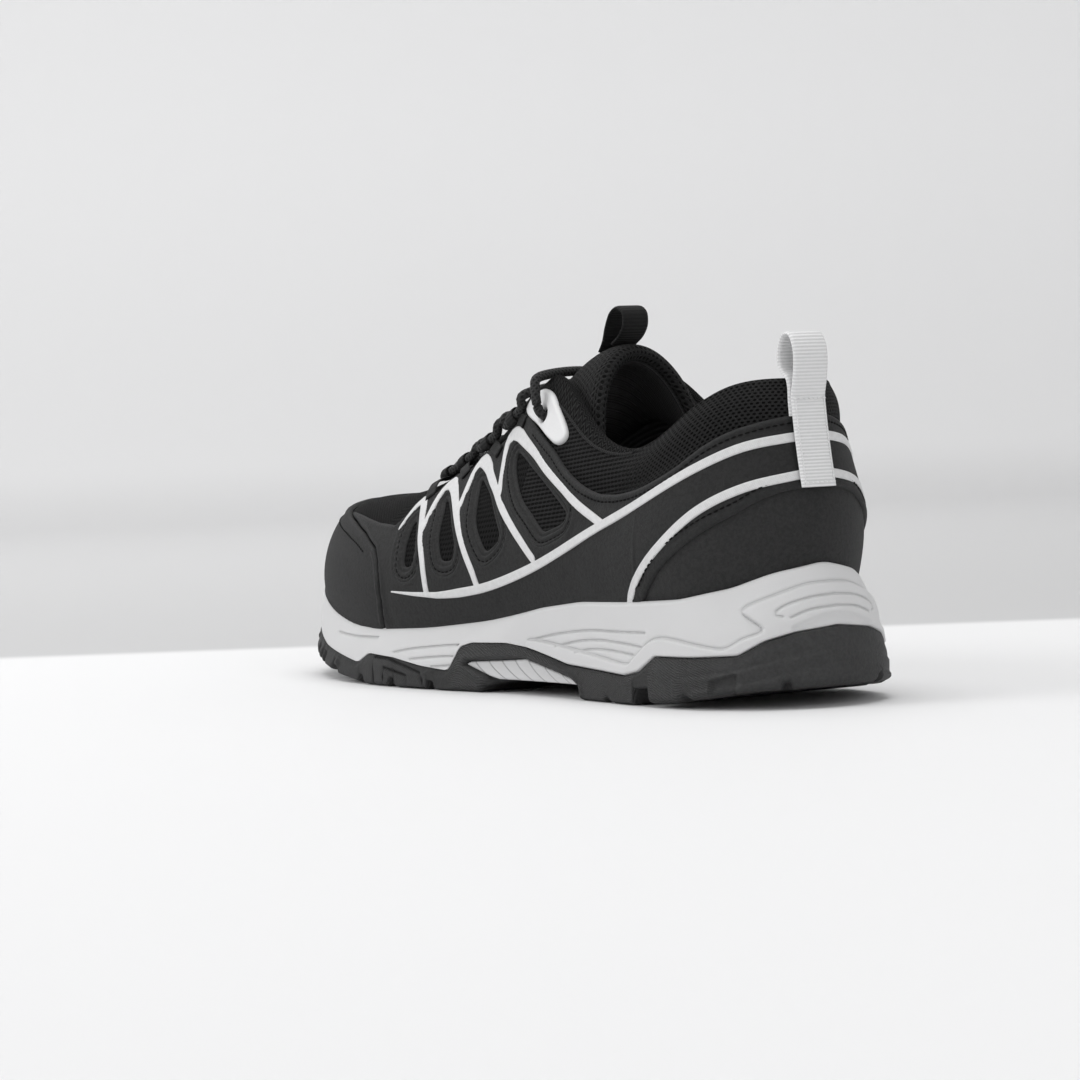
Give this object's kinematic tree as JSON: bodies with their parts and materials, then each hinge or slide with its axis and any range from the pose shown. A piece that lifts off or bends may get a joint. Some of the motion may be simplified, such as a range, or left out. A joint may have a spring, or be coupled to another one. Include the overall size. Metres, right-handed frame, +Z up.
{
  "type": "safety shoe",
  "caption": "Low black safety shoe for the left foot: pale foam midsole, lugged rubber outsole, overlays with mesh windows, round lace, tongue loop and white heel loop.",
  "frame": {"origin": "on the floor under the middle of the shoe's bounding box", "axes": "+X towards the toe, +Y towards the wearer's left, which is the shoe's outer side, +Z up"},
  "size_m": [0.3105, 0.1079, 0.1313],
  "materials": {
    "outsole_rubber": "matt moulded rubber, finely hatched on the sides",
    "midsole_foam": "satin moulded foam with shallow grooves",
    "insert_grey": "satin, ribbed",
    "panel_black": "nubuck-like microfibre, matt",
    "mesh_black": "padded open mesh",
    "insole_cloth": "plain knit",
    "lace_black": "braided round lace",
    "webbing_black": "ribbed webbing",
    "webbing_white": "ribbed webbing",
    "trim_white": "bonded woven film, finely dotted",
    "tab_white": "smooth moulded plastic"
  },
  "bodies": {
    "root": {"outsole": "outsole_rubber", "arch_insert_left": "insert_grey", "arch_insert_right": "insert_grey", "midsole": "midsole_foam", "insole": "insole_cloth", "upper": "mesh_black", "toe_cap": "panel_black", "heel_counter": "panel_black", "side_panel_left": "panel_black", "side_panel_right": "panel_black", "eyelet_tab_left": "tab_white", "eyelet_tab_right": "tab_white", "tongue": "mesh_black", "tongue_loop": "webbing_black", "heel_loop": "webbing_white", "lace": "lace_black", "lace_loop_left_1": "webbing_black", "lace_loop_left_2": "webbing_black", "lace_loop_left_3": "webbing_black", "lace_loop_left_4": "webbing_black", "lace_loop_right_1": "webbing_black", "lace_loop_right_2": "webbing_black", "lace_loop_right_3": "webbing_black", "lace_loop_right_4": "webbing_black"}
  },
  "joints": []
}
